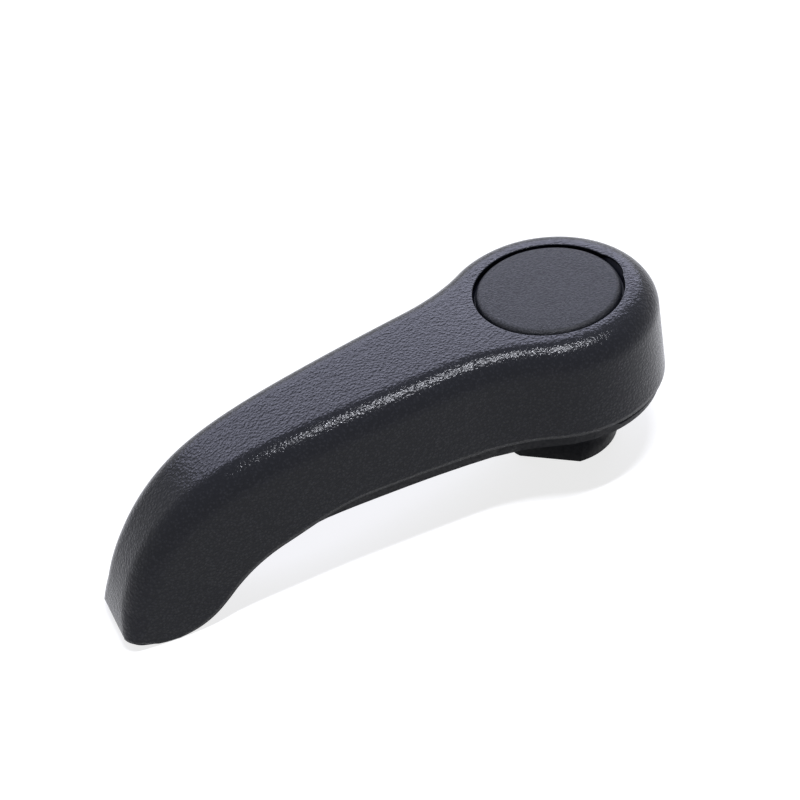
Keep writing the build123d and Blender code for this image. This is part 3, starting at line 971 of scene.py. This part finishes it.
@dataclass(frozen=True)
class Softbox:
    """One area lamp, aimed at the lever."""

    name: str
    place_mm: tuple[float, float, float]
    size_mm: tuple[float, float]
    power_w: float
    colour: str = "#FFFFFF"
    aim_mm: tuple[float, float, float] = (-35.0, 0.0, 20.0)

    def build(self) -> None:
        """Create the lamp."""
        data = bpy.data.lights.new(self.name, "AREA")
        data.shape = "RECTANGLE"
        data.size = self.size_mm[0] * MM
        data.size_y = self.size_mm[1] * MM
        data.energy = self.power_w
        data.color = linear(self.colour)[:3]
        lamp = bpy.data.objects.new(self.name, data)
        place = Vector(self.place_mm) * MM
        aim = Vector(self.aim_mm) * MM
        back = (place - aim).normalized()
        up = back.cross(Vector((1.0, 0.0, 0.0))).normalized()
        turn = Matrix((up.cross(back), up, back)).transposed().to_4x4()
        lamp.matrix_world = Matrix.Translation(place) @ turn
        bpy.context.scene.collection.objects.link(lamp)


@dataclass
class Studio:
    """Floor, lamps, world and camera round the lever."""

    floor_half_mm: float = 3000.0
    room_strength: float = 0.02
    floor_tone: str = "#D0D0D0"
    seen_floor_tone: str = "#B0B0B0"
    seen_floor_glow: float = 0.8
    camera: StudioCamera = field(default_factory=StudioCamera)
    lamps: tuple[Softbox, ...] = (
        Softbox("overhead", (35.0, -85.0, 560.0), (190.0, 26.0), 2.3, "#F4F6FF"),
        Softbox("back_sheet", (160.0, 620.0, 440.0), (1150.0, 285.0), 4.9, "#E0E2FF"),
    )

    def seen_switch(self, tree: bpy.types.NodeTree) -> bpy.types.NodeSocket:
        """Add the switch that is on for camera, glossy and transmission rays."""
        ray = add_node(tree, "ShaderNodeLightPath")
        through = add_node(tree, "ShaderNodeMath", {"operation": "MAXIMUM"}, _0=ray.outputs["Is Camera Ray"],
                           _1=ray.outputs["Is Transmission Ray"])
        seen = add_node(tree, "ShaderNodeMath", {"operation": "MAXIMUM"}, _0=through.outputs[0],
                        _1=ray.outputs["Is Glossy Ray"])
        return seen.outputs[0]

    def floor_material(self) -> bpy.types.Material:
        """Build the white paper of the floor.

        Returns:
            The material: plain paper for the light it throws back, lifted to white where it is seen.
        """
        material, tree = new_material("white_paper")
        paper = add_node(tree, "ShaderNodeBsdfDiffuse", Color=linear(self.floor_tone))
        dim = add_node(tree, "ShaderNodeBsdfDiffuse", Color=linear(self.seen_floor_tone))
        glow = add_node(tree, "ShaderNodeEmission", Color=(1, 1, 1, 1), Strength=self.seen_floor_glow)
        seen = add_node(tree, "ShaderNodeAddShader", _0=dim.outputs[0], _1=glow.outputs[0])
        mix = add_node(tree, "ShaderNodeMixShader", _0=self.seen_switch(tree), _1=paper.outputs[0],
                       _2=seen.outputs[0])
        add_node(tree, "ShaderNodeOutputMaterial", Surface=mix.outputs[0])
        return material

    def build_floor(self) -> None:
        """Make the floor at the height where the lever rests."""
        half = self.floor_half_mm * MM
        mesh = bpy.data.meshes.new("floor")
        mesh.from_pydata([(-half, -half, 0.0), (half, -half, 0.0), (half, half, 0.0), (-half, half, 0.0)], [],
                         [(0, 1, 2, 3)])
        mesh.materials.append(self.floor_material())
        floor = bpy.data.objects.new("floor", mesh)
        bpy.context.scene.collection.objects.link(floor)

    def build_world(self) -> None:
        """Set a dim room that looks white where it is seen, mirrored or looked through."""
        world = bpy.data.worlds.new("studio")
        world.use_nodes = True
        world.node_tree.nodes.clear()
        tree = world.node_tree
        room = add_node(tree, "ShaderNodeBackground", Color=(1, 1, 1, 1), Strength=self.room_strength)
        white = add_node(tree, "ShaderNodeBackground", Color=(1, 1, 1, 1), Strength=1.0)
        mix = add_node(tree, "ShaderNodeMixShader", _0=self.seen_switch(tree), _1=room.outputs[0],
                       _2=white.outputs[0])
        add_node(tree, "ShaderNodeOutputWorld", Surface=mix.outputs[0])
        bpy.context.scene.world = world

    def build(self) -> None:
        """Build the whole studio."""
        self.build_world()
        self.build_floor()
        for lamp in self.lamps:
            lamp.build()
        self.camera.build()
        bpy.context.scene.view_settings.view_transform = "Standard"
        LOG.info("studio: %d lamps", len(self.lamps))


@dataclass
class Lever:
    """The whole lever: its moulding, cover and fastener, each dressed in its finish."""

    moulding: Moulding = field(default_factory=Moulding)
    cover: Cover = field(default_factory=Cover)
    fastener: Fastener = field(default_factory=Fastener)

    def build(self, frame: dict[str, Any]) -> None:
        """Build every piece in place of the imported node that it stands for.

        Args:
            frame: The loaded frame.
        """
        nodes = frame["nodes"]
        low, high = (np.array(corner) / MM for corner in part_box("lever_body"))
        sections = ArmSections(self.moulding.form)
        skin = self.moulding.build_skin(sections, low, high)
        core = self.moulding.build_core(nodes["lever_body"], sections)
        pieces = [(skin, BODY_GRAIN, "body_plastic", "lever_body"),
                  (core, BODY_SMOOTH, "body_plastic", "lever_body"),
                  (self.cover.build_disc(), COVER_GRAIN, "cover_plastic", "screw_cap"),
                  (self.cover.build_legs(), COVER_GRAIN, "cover_plastic", "screw_cap"),
                  (self.fastener.build_screw(), STEEL, "zinc_steel", "retaining_screw"),
                  (self.fastener.build_washer(), STEEL, "zinc_steel", "washer")]
        made = {finish.name: finish.material() for _, finish, _, _ in pieces}
        for piece, finish, slot, node in pieces:
            piece.data.materials.clear()
            piece.data.materials.append(made[finish.name])
            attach(piece, "root")
            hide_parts(node)
            LOG.info("%s: %d faces in %s, for %s", piece.name, len(piece.data.polygons), finish.name, node)


def main() -> None:
    """Load the frame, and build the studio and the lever."""
    logging.basicConfig(level=logging.INFO, format="%(message)s")
    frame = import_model()
    Studio().build()
    Lever().build(frame)


if __name__ == "__main__":
    main()
